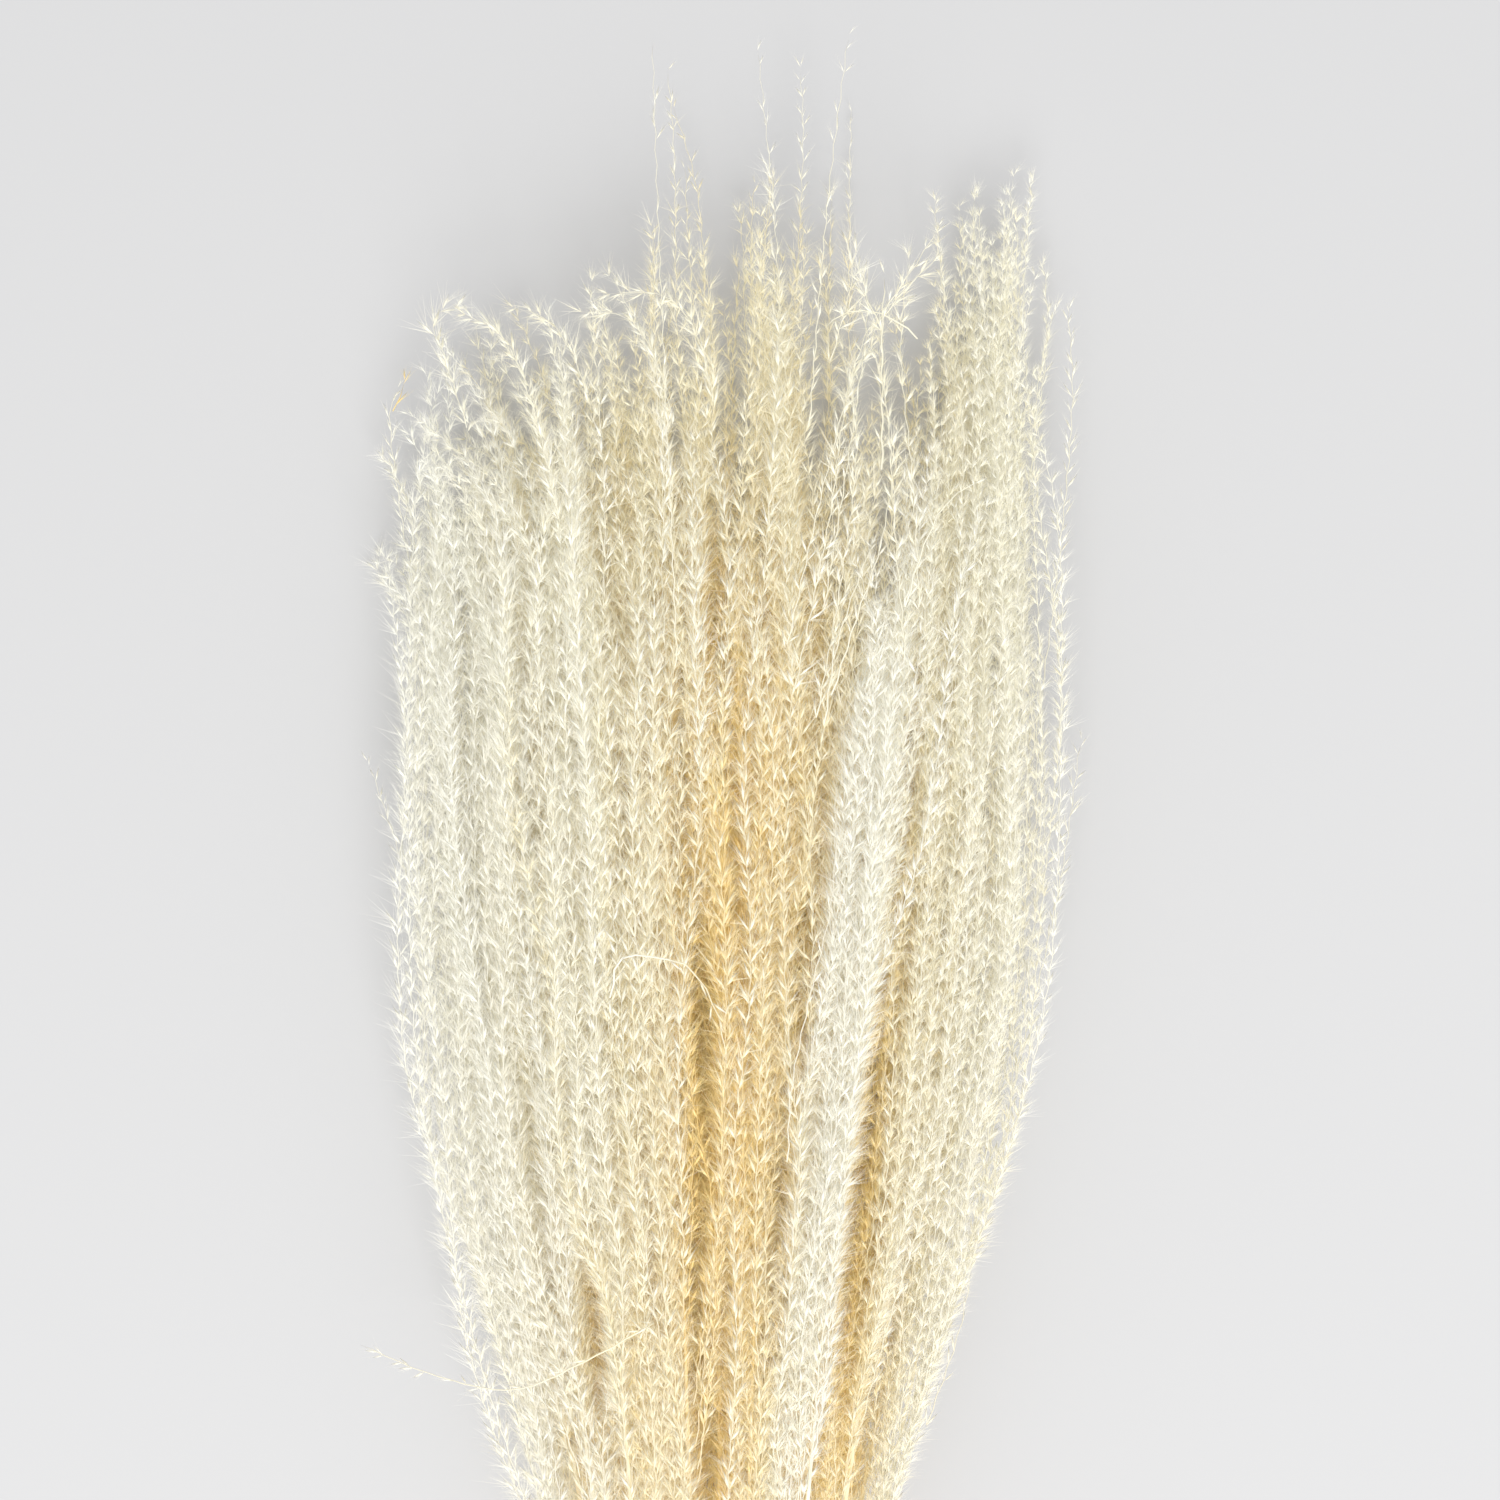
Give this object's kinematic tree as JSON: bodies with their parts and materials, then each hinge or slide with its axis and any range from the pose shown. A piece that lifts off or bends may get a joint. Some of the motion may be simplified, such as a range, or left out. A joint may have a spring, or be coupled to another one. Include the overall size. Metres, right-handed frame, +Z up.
{
  "type": "bundle of dried grass plumes",
  "caption": "Tied bundle of bleached, feathery dried grass plumes on thin straw stems, lying flat for a vase, wreath or still life.",
  "frame": {"origin": "on the surface that the bundle lies on, under the centre of its bounding box", "axes": "+Y along the stems from the cut ends to the plume tips, +Z up from the surface, +X across the bundle to the right when seen from above with the tips away from the viewer"},
  "size_m": [0.1858, 0.7, 0.0623],
  "materials": {
    "plume": "soft bleached silky hair",
    "stem": "smooth dry straw",
    "band": "matt natural rubber"
  },
  "bodies": {
    "root": {"stem_01": "stem", "plume_01": "plume", "stem_02": "stem", "plume_02": "plume", "stem_03": "stem", "plume_03": "plume", "stem_04": "stem", "plume_04": "plume", "stem_05": "stem", "plume_05": "plume", "stem_06": "stem", "plume_06": "plume", "stem_07": "stem", "plume_07": "plume", "stem_08": "stem", "plume_08": "plume", "stem_09": "stem", "plume_09": "plume", "stem_10": "stem", "plume_10": "plume", "stem_11": "stem", "plume_11": "plume", "stem_12": "stem", "plume_12": "plume", "stem_13": "stem", "plume_13": "plume", "stem_14": "stem", "plume_14": "plume", "stem_15": "stem", "plume_15": "plume", "stem_16": "stem", "plume_16": "plume", "stem_17": "stem", "plume_17": "plume", "stem_18": "stem", "plume_18": "plume", "stem_19": "stem", "plume_19": "plume", "stem_20": "stem", "plume_20": "plume", "stem_21": "stem", "plume_21": "plume", "stem_22": "stem", "plume_22": "plume", "stem_23": "stem", "plume_23": "plume", "stem_24": "stem", "plume_24": "plume", "elastic_band": "band"}
  },
  "joints": []
}
